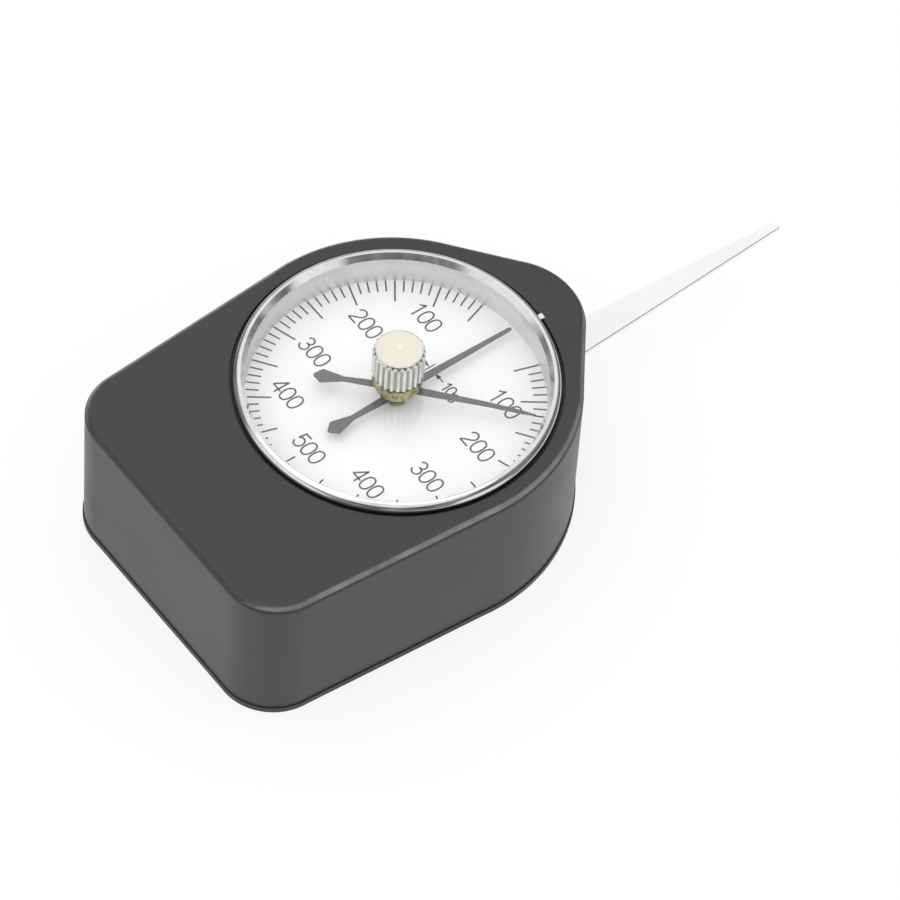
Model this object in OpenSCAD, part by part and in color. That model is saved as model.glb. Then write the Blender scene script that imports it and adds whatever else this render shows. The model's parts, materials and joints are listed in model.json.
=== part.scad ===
// Dial tension gauge: a sprung lever in the nose of a case turns a hand over a round dial,
// and a second hand, set by a knob on the window, stays where the first one pushed it.
// Z is the dial axis, the lever points along +X, and the gauge rests on the plane Z = 0.

/* [Case] */
// Distance from the dial axis to the flat back
back_reach = 33.7; // [31:0.1:40]
// Distance from the dial axis to the end of the nose
nose_reach = 25.4; // [25:0.1:27]
// Width of the case across its flat back
rear_w = 40; // [36:0.5:43]
// Radius of the two rear corners
corner_r = 6.8; // [5.5:0.1:9]
// Radius of the round dial end
disc_r = 21.85; // [21.5:0.05:24]
// Radius of the nose
nose_r = 9.35; // [9.1:0.05:9.8]
// Height of the case top above the resting face
case_h = 20; // [19.8:0.1:24]
// Thickness of the side walls
wall_t = 1.6; // [1.2:0.1:1.8]
// Thickness of the top wall
top_t = 1.8; // [1.2:0.1:2.4]
// Radius of the rounded top edge
edge_r = 1; // [0.4:0.1:1.2]
// Radius of the screw bosses inside the case
boss_r = 2.4; // [2.2:0.1:2.6]
// Height of the screw bosses
boss_h = 6; // [5:0.5:6.5]

/* [Bottom cover] */
// Thickness of the cover
cover_t = 0.8; // [0.8:0.1:1.2]
// How far the cover stands out from the case wall
cover_lip = 0.15; // [0.05:0.05:0.4]
// Radius of the cover screws
cover_screw_r = 0.8; // [0.6:0.1:0.9]
// Length of the cover screws
cover_screw_len = 5; // [4:0.5:5.5]

/* [Dial and window] */
// Depth of the dial face below the case top
dial_depth = 4; // [3.7:0.1:4.2]
// Radius of the dial plate, which the spacer ring and the bezel share
dial_r = 19.3; // [18.9:0.05:19.6]
// Thickness of the dial plate
dial_t = 0.6; // [0.4:0.1:0.8]
// Height from the dial face to the crystal
spacer_h = 3.4; // [3.2:0.05:3.5]
// Width of the spacer ring
spacer_w = 1.55; // [1.3:0.05:1.6]
// How far the spacer ring's inner wall leans back on its way up to the crystal
spacer_lean = 0.4; // [0.2:0.05:0.5]
// Thickness of the crystal
crystal_t = 0.8; // [0.6:0.1:1]
// Height of the bezel rim above the case top
bezel_rise = 1; // [0.8:0.1:1.6]
// Width of the bezel rim
bezel_w = 1.5; // [1.45:0.05:1.6]
// Wall of the bezel beside the crystal
bezel_wall = 0.6; // [0.4:0.05:0.7]
// Radius of the bezel's outer edge
bezel_round = 0.95; // [0.5:0.05:0.95]
// Width of the groove around the bezel
groove_w = 0.35; // [0.2:0.05:0.6]
// Depth of the groove around the bezel
groove_depth = 0.7; // [0.4:0.1:0.9]
// Thickness of the ledge that the dial rests on
ledge_t = 2; // [1.8:0.1:2.4]
// Width of the ledge that the dial rests on
ledge_w = 2.3; // [2.2:0.1:2.5]

/* [Knob] */
// Diameter of the reset knob
knob_d = 6.2; // [5.6:0.1:8]
// Height of the reset knob
knob_h = 4.3; // [3.5:0.1:6]
// Number of flutes around the knob
flutes = 24; // [16:1:28]
// Radius of one flute
flute_r = 0.28; // [0.2:0.02:0.32]
// Height of the brass collar above the crystal
collar_h = 1.3; // [1:0.05:2]
// Diameter of the brass collar
collar_d = 6; // [5.6:0.1:7]
// Diameter of the collar's flange under the crystal
flange_d = 5.3; // [4.8:0.1:5.5]
// Diameter of the spindle in the knob
spindle_d = 1.8; // [1.4:0.1:2.2]

/* [Hands] */
// Distance from the dial axis to the tip of the measuring hand
hand_reach = 16.8; // [14:0.1:17.1]
// Distance from the dial axis to the tip of the drag hand
drag_reach = 16.6; // [14:0.1:17]
// Distance from the dial axis to the end of a hand's tail
tail_reach = 9.9; // [8:0.1:11]
// Thickness of the hands
hand_t = 0.15; // [0.1:0.05:0.2]
// Height of the measuring hand above the dial
hand_lift = 1.2; // [1:0.05:1.3]
// Height of the drag hand's eye above the dial
drag_lift = 2.3; // [2.2:0.05:2.6]
// How far the drag hand comes down from its eye to its bend and to its tail
drag_bow = 0.3; // [0.1:0.05:0.4]
// How far the drag hand comes down from its eye to its tip
drag_tip_drop = 0.8; // [0.5:0.05:0.9]
// Angle of the drag hand from the lever's direction
drag_angle = -47; // [-170:1:-10]
// Width of a hand beside its eye
hand_w = 1.15; // [0.8:0.05:1.4]
// Width of the kite on a hand's tail
kite_w = 2; // [1.2:0.1:2.6]

/* [Lever] */
// Distance from the dial axis to the lever tip
lever_reach = 58.15; // [50:0.05:66]
// Height of the lever blade above the resting face
lever_z = 7.2; // [7.1:0.1:7.3]
// Thickness of the lever blade
blade_t = 0.8; // [0.6:0.1:0.9]
// Radius of the blade's root around its shaft
blade_root_r = 2.9; // [2.8:0.1:3.2]
// Radius of the blade's tip
blade_tip_r = 0.6; // [0.4:0.1:1]
// Radius of the lever shaft
shaft_r = 1.25; // [1.1:0.05:1.3]

/* [Movement] */
// Teeth on the pinion
pinion_teeth = 14; // [12:1:15]
// Teeth that the sector would have on a full circle
sector_teeth = 140; // [130:10:160]
// Thickness of the sector gear
sector_t = 0.8; // [0.6:0.1:1]
// Thickness of the movement plates
plate_t = 1.2; // [1:0.1:1.3]
// Gap between the bottom cover and the lower plate
under_gap = 1.2; // [1:0.1:1.3]
// Radius of the pillars between the plates
pillar_r = 1.5; // [1.2:0.1:1.8]
// Radius of the pointer arbor
arbor_r = 0.7; // [0.6:0.05:0.8]
// Turns of the measuring spring
spring_turns = 4.25; // [3.25:1:5.25]
// Thickness of the measuring spring
spring_t = 0.3; // [0.2:0.05:0.35]
// Height of the measuring spring
spring_h = 1.4; // [1:0.1:1.6]
// Turns of the hairspring
hair_turns = 6.5; // [4.5:1:7.5]
// Thickness of the hairspring
hair_t = 0.15; // [0.1:0.05:0.2]
// Height of the hairspring
hair_h = 0.6; // [0.4:0.1:0.7]

/* [Clearances] */
// Gap around a piece that is seated in another
seat_gap = 0.05; // [0.02:0.01:0.08]
// Gap around a shaft that turns in a bush
run_gap = 0.03; // [0.02:0.01:0.06]
// Gap around a piece that is pressed on a shaft or into a plate
press_gap = 0.01; // [0.005:0.005:0.02]
// Gap between the lever and its slot
slot_gap = 0.5; // [0.3:0.1:0.6]
// End play of the shafts between the plates
end_play = 0.1; // [0.05:0.05:0.2]
// Play of the gear teeth, along the pitch circle
backlash = 0.05; // [0.03:0.01:0.08]

/* [Hidden] */
$fn = 64;

// Cuts run this far past the face that they open
cut = 1;

// Slots of the screw heads
driver_w = 0.25;
driver_depth = 0.2;
cross_len = 0.8;
cross_w = 0.4;
cross_depth = 0.35;

// The straight sides of an outline are drawn in a little and run on past their ends,
// so that they cross the round ends instead of only touching them
side_draw = 0.02;
side_lap = 0.2;
side_core = 2;
side_depth = 3;

// The rounded edge bulges a little past a quarter circle, so that it meets the walls at an angle
edge_bulge = 0.03;

// Heights, from the resting face up
crystal_z = case_h - dial_depth + spacer_h;
crystal_top = crystal_z + crystal_t;
dial_z = case_h - dial_depth;
ledge_top = dial_z - dial_t;
ledge_z = ledge_top - ledge_t;
upper_z = ledge_z - plate_t;
lower_z = cover_t + under_gap;
lower_top = lower_z + plate_t;
bezel_top = case_h + bezel_rise;

// The outline is four round ends joined by tangents: the nose, the dial end and two rear corners
lever_x = nose_reach - nose_r;
rear_x = corner_r - back_reach;
rear_y = rear_w / 2 - corner_r;
well_r = dial_r + seat_gap;
collar_wall = 1.25;
cavity_h = case_h - top_t;

// Bosses for the cover screws, two in the rear corners and two beside the nose
boss_inset = 4.6;
front_boss_angle = 42;
front_boss_wall = 1.65;
front_boss_reach = disc_r - wall_t - front_boss_wall;
boss_places = [for (side = [-1, 1]) each [
    [boss_inset - back_reach, side * (rear_w / 2 - boss_inset)],
    front_boss_reach * [cos(front_boss_angle), side * sin(front_boss_angle)]
]];
cover_head_w = 0.7;
cover_head_r = cover_screw_r + cover_head_w;
cover_head_sink = 0.05;

// Window
crystal_r = dial_r - bezel_wall - seat_gap;
bezel_lip_t = 0.05;
bezel_slope_w = 0.5;
round_steps = 8;
tab_root = 0.3;
tab_angle = -6.5;
tab_w = 0.75;
tab_h = 0.4;
tab_overhang = 0.15;
shank_step = 0.5;
shank_r = flange_d / 2 - shank_step;
flange_t = 0.45;
collar_edge = 0.1;
washer_t = 0.15;
washer_w = 1;
collar_top = crystal_top + collar_h;
knob_gap = 0.05;
knob_z = collar_top + washer_t + knob_gap;
knob_chamfer = 0.35;
flute_offset = 0.06;
spindle_r = spindle_d / 2;
knob_cap = 1.2;
spindle_depth = knob_h - knob_cap;

// Hands
hand_z = dial_z + hand_lift;
drag_z = dial_z + drag_lift;
eye_r = 1.5;
hand_bush_r = 1.1;
hand_bush_gap = 0.15;
kite_end = 0.96;
kite_len = 2.6;
kite_reach = tail_reach - kite_end;
neck_reach = kite_reach - kite_len;
neck_w = 0.7;
tip_w = 0.5;
tip_len = 0.3;
tip_end_w = 0.25;
tail_w = 0.3;
drag_tip_len = 1.6;
drag_tip_end_w = 0.12;
bend_len = 5.6;
bend_reach = drag_reach - bend_len;
drag_hub_r = 1.2;
drag_hub_h = 0.4;
dial_hole_gap = 0.3;
foot_r = 0.5;
foot_reach = 9;

// Lever
lever_swing = 180 * pinion_teeth / sector_teeth;
blade_len = lever_reach - blade_tip_r - lever_x;
slot_inner_r = nose_r - wall_t;
slot_w = blade_root_r - (blade_root_r - blade_tip_r) * slot_inner_r / blade_len + slot_gap;
slot_angle = lever_swing + asin(slot_w / slot_inner_r);
hub_h = 1.2;
hub_step = 0.3;
hub_r = blade_root_r - hub_step;
lever_screw_r = 0.3;
lever_screw_reach = (shaft_r + hub_r) / 2;
lever_head_r = 0.5;
lever_head_h = 0.4;
lever_screw_bite = 0.9;
lever_screw_len = blade_t + lever_screw_bite;
shaft_step = 0.45;
shaft_pivot_r = shaft_r - shaft_step;

// Gears: their pitch circles meet on the line between the two axes
gear_module = 2 * lever_x / (sector_teeth + pinion_teeth);
pressure_angle = 20;
addendum = 0.9 * gear_module;
dedendum = 1.25 * gear_module;
flank_steps = 3;
sector_lift = 1;
sector_z = lever_z + blade_t + sector_lift;
sector_rim = 1.6;
sector_side = 1.4;
sector_hub_r = 2.3;
sector_hub_rise = 0.3;
sector_window_r = 4.5;
sector_pitch = 360 / sector_teeth;
sector_spare = 1.5;
sector_count = 2 * ceil(lever_swing / sector_pitch + sector_spare);
sector_half = sector_count / 2 * sector_pitch + sector_side;
pinion_rise = 0.3;

// Plates
plate_gap = 0.55;
plate_nose_r = nose_r - wall_t - plate_gap;
upper_gap = 1.1;
upper_r = disc_r - wall_t - upper_gap;
ledge_in_r = upper_r - ledge_w;
pillar_inset = 1.8;
pillar_ring_r = ledge_in_r - pillar_inset;
plate_margin = 2;
lower_plate_r = pillar_ring_r + plate_margin;
notch_gap = 0.3;
shaft_bush_r = 1.9;
arbor_bush_r = 1.6;
arbor_step = 0.2;
arbor_pivot_r = arbor_r - arbor_step;
plate_screw_r = 0.5;
plate_head_r = 1.1;
plate_head_h = 0.6;
pillar_bite = 2;
pillar_angles = [62.5, 143];
pillar_places = [for (a = pillar_angles, side = [-1, 1])
    pillar_ring_r * [cos(a), side * sin(a)]];
movement_screw_r = 0.5;
movement_head_r = 0.9;
ledge_skin = 0.4;
movement_bite = ledge_t - ledge_skin;
movement_ring_r = upper_r - ledge_w / 2;
movement_angles = [100, 220, 340];
movement_places = [for (a = movement_angles) movement_ring_r * [cos(a), sin(a)]];

// Springs and stops
turn_steps = 24;
collet_r = 1.9;
spring_lift = 1;
spring_z = lower_top + spring_lift;
spring_out_r = 6.2;
stud_r = 0.6;
stud_angle = 360 * spring_turns + 2 * asin((stud_r + seat_gap) / (2 * spring_out_r));
stud_place = [lever_x, 0] + spring_out_r * [cos(stud_angle), sin(stud_angle)];
hair_collet_r = 1.15;
hair_gap = 0.7;
hair_z = sector_z - pinion_rise - hair_gap - hair_h;
hair_out_r = 4.4;
hair_stud_r = 0.4;
hair_stud_angle = 360 * hair_turns + 2 * asin((hair_stud_r + seat_gap) / (2 * hair_out_r));
hair_stud_place = hair_out_r * [cos(hair_stud_angle), sin(hair_stud_angle)];
stop_r = 0.6;
stop_reach = 10;
stop_play = 0.12;
stop_angle = sector_half + lever_swing + asin((stop_r + stop_play) / stop_reach);
stop_places = [for (side = [-1, 1])
    [lever_x - stop_reach * cos(stop_angle), side * stop_reach * sin(stop_angle)]];

// Colours
black_paint = [0.29, 0.29, 0.29];
cover_paint = [0.2, 0.2, 0.2];
chrome = [0.82, 0.82, 0.83];
nickel = [0.85, 0.83, 0.77];
steel = [0.72, 0.72, 0.73];
brass = [0.62, 0.55, 0.3];
white = [0.97, 0.97, 0.97];
ring_grey = [0.78, 0.78, 0.78];
hand_grey = [0.45, 0.45, 0.45];
clear = [0.9, 0.95, 0.97, 0.3];

// Round ends [x, y, radius] of the case outline, drawn in by inset
function case_ends(inset) = [
    [lever_x, 0, nose_r - inset],
    [0, 0, disc_r - inset],
    [rear_x, rear_y, corner_r - inset],
    [rear_x, -rear_y, corner_r - inset]
];

// Round ends of the case outline in order around it: it passes the dial end on both sides
case_order = [0, 1, 2, 3, 1];

// Centre of a round end
function middle(end) = [end[0], end[1]];

// Unit normal of the tangent from one round end to the next
function tangent_normal(a, b) =
    let (way = middle(b) - middle(a), u = way / norm(way), k = (a[2] - b[2]) / norm(way))
    k * u + sqrt(1 - k * k) * [u[1], -u[0]];

// Straight sides of an outline, each as a pair of round ends
function side_pairs(ends, order) =
    [for (i = [0:len(order) - 1]) [ends[order[i]], ends[order[(i + 1) % len(order)]]]];

// Corners of the sides, drawn in by inset
function side_corners(ends, order, inset) =
    [for (pair = side_pairs(ends, order)) each [for (end = pair)
        middle(end) + (end[2] - inset) * tangent_normal(pair[0], pair[1])]];

// Flat outline of round ends and the straight sides between them
module outline(ends, order = [0, 1]) {
    for (end = ends)
        translate(middle(end))
            circle(end[2]);
    polygon(side_corners(ends, order, side_draw));
}

// Section of a wall from radius inner to outer, with its upper outer edge rounded
module wall_section(inner, outer, h, round) {
    translate([inner, 0])
        square([outer - round - inner, h]);
    translate([outer - round, 0])
        square([round, h - round]);
    translate([outer - round, h - round])
        intersection() {
            circle(round + edge_bulge);
            square(round);
        }
}

// Solid on an outline, with its upper edge rounded
module rounded_body(ends, order, h, round) {
    linear_extrude(h)
        polygon(side_corners(ends, order, side_core));
    for (end = ends)
        translate(middle(end))
            rotate_extrude()
                wall_section(0, end[2], h, round);
    for (pair = side_pairs(ends, order)) {
        corners = side_corners(pair, [0, 1], 0);
        way = corners[1] - corners[0];
        translate(corners[0])
            rotate(atan2(way[1], way[0]))
                translate([-side_lap, 0, 0])
                    rotate([90, 0, 90])
                        linear_extrude(norm(way) + 2 * side_lap)
                            mirror([1, 0, 0])
                                wall_section(-side_depth, -side_draw, h, round);
    }
}

// Cylinder with a hole along it
module tube(outer, inner, h) {
    difference() {
        cylinder(h = h, r = outer);
        translate([0, 0, -cut])
            cylinder(h = h + 2 * cut, r = inner);
    }
}

// Screw with its slotted head below and its shank up along Z from the underside of what it holds
module screw(shank, len, head, head_h) {
    cylinder(h = len, r = shank);
    difference() {
        translate([0, 0, -head_h])
            cylinder(h = head_h, r = head);
        driver_slot(head, -head_h);
    }
}

// Slot for a screwdriver, across a head that faces down at height z
module driver_slot(head, z) {
    translate([-head - cut, -driver_w / 2, z - cut])
        cube([2 * (head + cut), driver_w, driver_depth + cut]);
}

// Holes through a plate that starts at height z
module plate_holes(places, r, z, t) {
    for (p = places)
        translate([p[0], p[1], z - cut])
            cylinder(h = t + 2 * cut, r = r);
}

// Angle that an involute has turned at a given pressure angle
function involute(a) = tan(a) * 180 / PI - a;

// Half the angle that a tooth takes up at radius r
function tooth_half(teeth, r) =
    let (pitch_r = teeth * gear_module / 2, base_r = pitch_r * cos(pressure_angle))
    90 / teeth - backlash / pitch_r * 45 / PI + involute(pressure_angle)
        - involute(acos(min(1, base_r / r)));

// Radii of the points along one flank of a tooth, from root to tip
function flank_radii(teeth) =
    let (
        pitch_r = teeth * gear_module / 2,
        root_r = pitch_r - dedendum,
        low_r = max(root_r, pitch_r * cos(pressure_angle)),
        high_r = pitch_r + addendum
    )
    concat([root_r], [for (i = [0:flank_steps]) low_r + (high_r - low_r) * i / flank_steps]);

// Outline of one tooth around the direction a
function tooth(teeth, a) =
    let (
        radii = flank_radii(teeth),
        halves = [for (r = radii) tooth_half(teeth, max(r, radii[1]))],
        last = len(radii) - 1
    )
    concat(
        [for (i = [0:last]) radii[i] * [cos(a - halves[i]), sin(a - halves[i])]],
        [for (i = [last:-1:0]) radii[i] * [cos(a + halves[i]), sin(a + halves[i])]]
    );

// Outline of a flat strip wound into a spiral
function spiral(inner, outer, turns, t) =
    let (steps = ceil(turns * turn_steps))
    concat(
        [for (i = [0:steps]) let (a = 360 * turns * i / steps)
            (inner + (outer - inner) * i / steps - t / 2) * [cos(a), sin(a)]],
        [for (i = [steps:-1:0]) let (a = 360 * turns * i / steps)
            (inner + (outer - inner) * i / steps + t / 2) * [cos(a), sin(a)]]
    );

// Outline of a hand along +X with a kite on its tail and a pointed tip
function hand_outline(reach, point_len, end_w) =
    let (half = [
        [-tail_reach, tail_w / 2], [-kite_reach, kite_w / 2], [-neck_reach, neck_w / 2],
        [0, hand_w / 2], [reach - point_len, tip_w / 2], [reach, end_w / 2]
    ])
    concat(
        [for (p = half) [p[0], -p[1]]],
        [for (i = [len(half) - 1:-1:0]) half[i]]
    );

module case() {
    color(black_paint)
        difference() {
            translate([0, 0, cover_t])
                rounded_body(case_ends(0), case_order, case_h - cover_t, edge_r);
            difference() {
                translate([0, 0, cover_t - cut])
                    linear_extrude(cavity_h - cover_t + cut)
                        outline(case_ends(wall_t), case_order);
                translate([0, 0, ledge_z])
                    cylinder(h = case_h - ledge_z, r = well_r + collar_wall);
                plate_bosses();
            }
            translate([0, 0, ledge_z - cut])
                cylinder(h = case_h, r = ledge_in_r);
            translate([0, 0, ledge_top])
                cylinder(h = case_h, r = well_r);
            translate([0, 0, case_h - groove_depth])
                cylinder(h = case_h, r = dial_r + groove_w);
            plate_holes(boss_places, cover_screw_r + press_gap, cover_t, boss_h);
            plate_holes(movement_places, movement_screw_r + press_gap, ledge_z, movement_bite - cut);
            lever_slot();
        }
}

// Bosses that the cover screws bite into
module plate_bosses() {
    for (p = boss_places)
        translate([p[0], p[1], cover_t - cut])
            cylinder(h = boss_h + cut, r = boss_r);
}

// Window in the nose that the lever swings in
module lever_slot() {
    translate([lever_x, 0, lever_z - slot_gap])
        rotate(-slot_angle)
            rotate_extrude(angle = 2 * slot_angle)
                translate([slot_inner_r - cut, 0])
                    square([wall_t + 3 * cut, blade_t + 2 * slot_gap]);
}

module bottom_cover() {
    color(cover_paint)
        difference() {
            linear_extrude(cover_t)
                outline(case_ends(-cover_lip), case_order);
            plate_holes(boss_places, cover_screw_r + seat_gap, 0, cover_t);
            for (p = boss_places)
                translate([p[0], p[1], 0])
                    cylinder(
                        h = cover_t - cover_head_sink,
                        r1 = cover_head_r + seat_gap,
                        r2 = cover_screw_r + seat_gap
                    );
        }
}

module cover_screws() {
    color(steel)
        for (p = boss_places)
            translate([p[0], p[1], cover_head_sink])
                difference() {
                    union() {
                        cylinder(
                            h = cover_t - cover_head_sink,
                            r1 = cover_head_r - cover_head_sink,
                            r2 = cover_screw_r
                        );
                        cylinder(h = cover_screw_len, r = cover_screw_r);
                    }
                    for (turn = [0, 90])
                        rotate(turn)
                            translate([-cross_len, -cross_w / 2, -cut])
                                cube([2 * cross_len, cross_w, cross_depth + cut]);
                }
}

module bezel_ring() {
    lip_r = dial_r - bezel_w;
    pocket_r = crystal_r + seat_gap;
    color(chrome) {
        rotate_extrude()
            polygon([
                [pocket_r, crystal_z],
                [dial_r, crystal_z],
                each bezel_edge(),
                [lip_r + bezel_slope_w, bezel_top],
                [lip_r, crystal_top + bezel_lip_t],
                [lip_r, crystal_top],
                [pocket_r, crystal_top]
            ]);
        rotate(tab_angle)
            translate([dial_r - tab_root, -tab_w / 2, case_h])
                cube([tab_root + groove_w + tab_overhang, tab_w, tab_h]);
    }
}

// Rounded outer edge of the bezel, from its wall up to its rim
function bezel_edge() = [for (i = [0:round_steps]) let (a = 90 * i / round_steps)
    [dial_r - bezel_round + bezel_round * cos(a), bezel_top - bezel_round + bezel_round * sin(a)]];

module crystal() {
    color(clear)
        translate([0, 0, crystal_z])
            tube(crystal_r, shank_r + press_gap, crystal_t);
}

module crystal_bush() {
    color(brass)
        rotate_extrude()
            polygon([
                [spindle_r + run_gap, crystal_z - flange_t],
                [flange_d / 2, crystal_z - flange_t],
                [flange_d / 2, crystal_z],
                [shank_r, crystal_z],
                [shank_r, crystal_top],
                [collar_d / 2, crystal_top],
                [collar_d / 2, collar_top - collar_edge],
                [collar_d / 2 - collar_edge, collar_top],
                [spindle_r + run_gap, collar_top]
            ]);
}

module spacer_ring() {
    color(ring_grey)
        rotate_extrude()
            polygon([
                [dial_r - spacer_w, dial_z],
                [dial_r, dial_z],
                [dial_r, crystal_z],
                [dial_r - spacer_w + spacer_lean, crystal_z]
            ]);
}

module dial_plate() {
    color(white) {
        translate([0, 0, ledge_top])
            tube(dial_r, arbor_pivot_r + dial_hole_gap, dial_t);
        for (side = [-1, 1])
            translate([0, side * foot_reach, upper_z])
                cylinder(h = ledge_top - upper_z, r = foot_r);
    }
}

module upper_plate() {
    color(brass)
        difference() {
            translate([0, 0, upper_z])
                linear_extrude(plate_t)
                    outline([[lever_x, 0, plate_nose_r], [0, 0, upper_r]]);
            plate_holes([[lever_x, 0]], shaft_bush_r + press_gap, upper_z, plate_t);
            plate_holes([[0, 0]], arbor_bush_r + press_gap, upper_z, plate_t);
            plate_holes(pillar_places, plate_screw_r + seat_gap, upper_z, plate_t);
            plate_holes(movement_places, movement_screw_r + seat_gap, upper_z, plate_t);
            plate_holes([[0, foot_reach], [0, -foot_reach]], foot_r + press_gap, upper_z, plate_t);
            plate_holes(boss_places, boss_r + notch_gap, upper_z, plate_t);
        }
}

module lower_plate() {
    color(brass)
        difference() {
            translate([0, 0, lower_z])
                linear_extrude(plate_t)
                    outline([[lever_x, 0, plate_nose_r], [0, 0, lower_plate_r]]);
            plate_holes([[lever_x, 0]], shaft_bush_r + press_gap, lower_z, plate_t);
            plate_holes([[0, 0]], arbor_bush_r + press_gap, lower_z, plate_t);
            plate_holes(pillar_places, plate_screw_r + seat_gap, lower_z, plate_t);
            plate_holes([stud_place], stud_r + press_gap, lower_z, plate_t);
            plate_holes([hair_stud_place], hair_stud_r + press_gap, lower_z, plate_t);
            plate_holes(stop_places, stop_r + press_gap, lower_z, plate_t);
            plate_holes(boss_places, boss_r + notch_gap, lower_z, plate_t);
        }
}

module pillars() {
    color(brass)
        for (p = pillar_places)
            translate([p[0], p[1], lower_top])
                tube(pillar_r, plate_screw_r + press_gap, upper_z - lower_top);
}

module pillar_screws() {
    color(steel)
        for (p = pillar_places) {
            translate([p[0], p[1], lower_z])
                screw(plate_screw_r, plate_t + pillar_bite, plate_head_r, plate_head_h);
            translate([p[0], p[1], upper_z + plate_t])
                mirror([0, 0, 1])
                    screw(plate_screw_r, plate_t + pillar_bite, plate_head_r, plate_head_h);
        }
}

module movement_screws() {
    color(steel)
        for (p = movement_places)
            translate([p[0], p[1], upper_z])
                screw(movement_screw_r, plate_t + movement_bite, movement_head_r, plate_head_h);
}

module lever_bushes() {
    color(brass)
        for (z = [lower_z, upper_z])
            translate([lever_x, 0, z])
                tube(shaft_bush_r, shaft_pivot_r + run_gap, plate_t);
}

module arbor_bushes() {
    color(brass)
        for (z = [lower_z, upper_z])
            translate([0, 0, z])
                tube(arbor_bush_r, arbor_pivot_r + run_gap, plate_t);
}

module spring_stud() {
    color(steel)
        translate([stud_place[0], stud_place[1], lower_z])
            cylinder(h = spring_z + spring_h - lower_z, r = stud_r);
}

module measuring_spring() {
    color(steel)
        translate([lever_x, 0, spring_z])
            linear_extrude(spring_h)
                polygon(spiral(collet_r + seat_gap + spring_t / 2, spring_out_r, spring_turns, spring_t));
}

module hairspring() {
    color(steel)
        translate([0, 0, hair_z])
            linear_extrude(hair_h)
                polygon(spiral(hair_collet_r + seat_gap + hair_t / 2, hair_out_r, hair_turns, hair_t));
}

module hairspring_stud() {
    color(steel)
        translate([hair_stud_place[0], hair_stud_place[1], lower_z])
            cylinder(h = hair_z + hair_h - lower_z, r = hair_stud_r);
}

module stop_pins() {
    color(steel)
        for (p = stop_places)
            translate([p[0], p[1], lower_z])
                cylinder(h = sector_z + sector_t - lower_z, r = stop_r);
}

module lever_shaft() {
    color(steel)
        translate([lever_x, 0, 0]) {
            translate([0, 0, lower_z])
                cylinder(h = upper_z + plate_t - end_play - lower_z, r = shaft_pivot_r);
            translate([0, 0, lower_top + end_play])
                cylinder(h = upper_z - lower_top - 2 * end_play, r = shaft_r);
        }
}

module lever_hub() {
    color(brass)
        difference() {
            translate([lever_x, 0, lever_z - hub_h])
                tube(hub_r, shaft_r + press_gap, hub_h);
            for (side = [-1, 1])
                translate([lever_x, side * lever_screw_reach, lever_z + blade_t - lever_screw_len])
                    cylinder(h = lever_screw_len, r = lever_screw_r + press_gap);
        }
}

module feeler_lever() {
    color(steel)
        difference() {
            translate([0, 0, lever_z])
                linear_extrude(blade_t)
                    outline([[lever_x, 0, blade_root_r], [lever_reach - blade_tip_r, 0, blade_tip_r]]);
            plate_holes([[lever_x, 0]], shaft_r + press_gap, lever_z, blade_t);
            plate_holes(
                [for (side = [-1, 1]) [lever_x, side * lever_screw_reach]],
                lever_screw_r + seat_gap, lever_z, blade_t
            );
        }
}

module lever_screws() {
    color(steel)
        for (side = [-1, 1])
            translate([lever_x, side * lever_screw_reach, lever_z + blade_t])
                mirror([0, 0, 1])
                    screw(lever_screw_r, lever_screw_len, lever_head_r, lever_head_h);
}

module sector_gear() {
    root_r = flank_radii(sector_teeth)[0];
    rim_r = root_r - sector_rim;
    window_half = sector_half - 2 * sector_side;
    color(brass)
        translate([lever_x, 0, 0])
            difference() {
                union() {
                    translate([0, 0, sector_z])
                        linear_extrude(sector_t)
                            polygon(sector_outline());
                    translate([0, 0, sector_z - sector_hub_rise])
                        cylinder(h = sector_t + 2 * sector_hub_rise, r = sector_hub_r);
                }
                translate([0, 0, sector_z - cut])
                    rotate(180 - window_half)
                        rotate_extrude(angle = 2 * window_half)
                            translate([sector_window_r, 0])
                                square([rim_r - sector_window_r, sector_t + 2 * cut]);
                translate([0, 0, sector_z - cut])
                    cylinder(h = sector_t + 2 * cut, r = shaft_r + press_gap);
            }
}

// Outline of the sector: from its axis out along one side, over the teeth and back
function sector_outline() =
    let (root_r = flank_radii(sector_teeth)[0], first = 180 - sector_half, last = 180 + sector_half)
    concat(
        [[0, 0], root_r * [cos(first), sin(first)]],
        [for (i = [0:sector_count - 1])
            each tooth(sector_teeth, 180 + (i - (sector_count - 1) / 2) * sector_pitch)],
        [root_r * [cos(last), sin(last)]]
    );

module spring_collet() {
    color(brass)
        translate([lever_x, 0, spring_z])
            tube(collet_r, shaft_r + press_gap, spring_h);
}

module pointer_arbor() {
    color(steel) {
        translate([0, 0, lower_z])
            cylinder(h = hand_z + hand_t - lower_z, r = arbor_pivot_r);
        translate([0, 0, lower_top + end_play])
            cylinder(h = upper_z - lower_top - 2 * end_play, r = arbor_r);
    }
}

module pinion() {
    color(steel)
        translate([0, 0, sector_z - pinion_rise])
            difference() {
                linear_extrude(sector_t + 2 * pinion_rise)
                    polygon([for (i = [0:pinion_teeth - 1])
                        each tooth(pinion_teeth, 360 * i / pinion_teeth)]);
                translate([0, 0, -cut])
                    cylinder(h = sector_t + 2 * pinion_rise + 2 * cut, r = arbor_r + press_gap);
            }
}

module hairspring_collet() {
    color(brass)
        translate([0, 0, hair_z])
            tube(hair_collet_r, arbor_r + press_gap, hair_h);
}

module hand_bush() {
    color(brass)
        translate([0, 0, dial_z + hand_bush_gap])
            tube(hand_bush_r, arbor_pivot_r + press_gap, hand_lift - hand_bush_gap);
}

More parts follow.
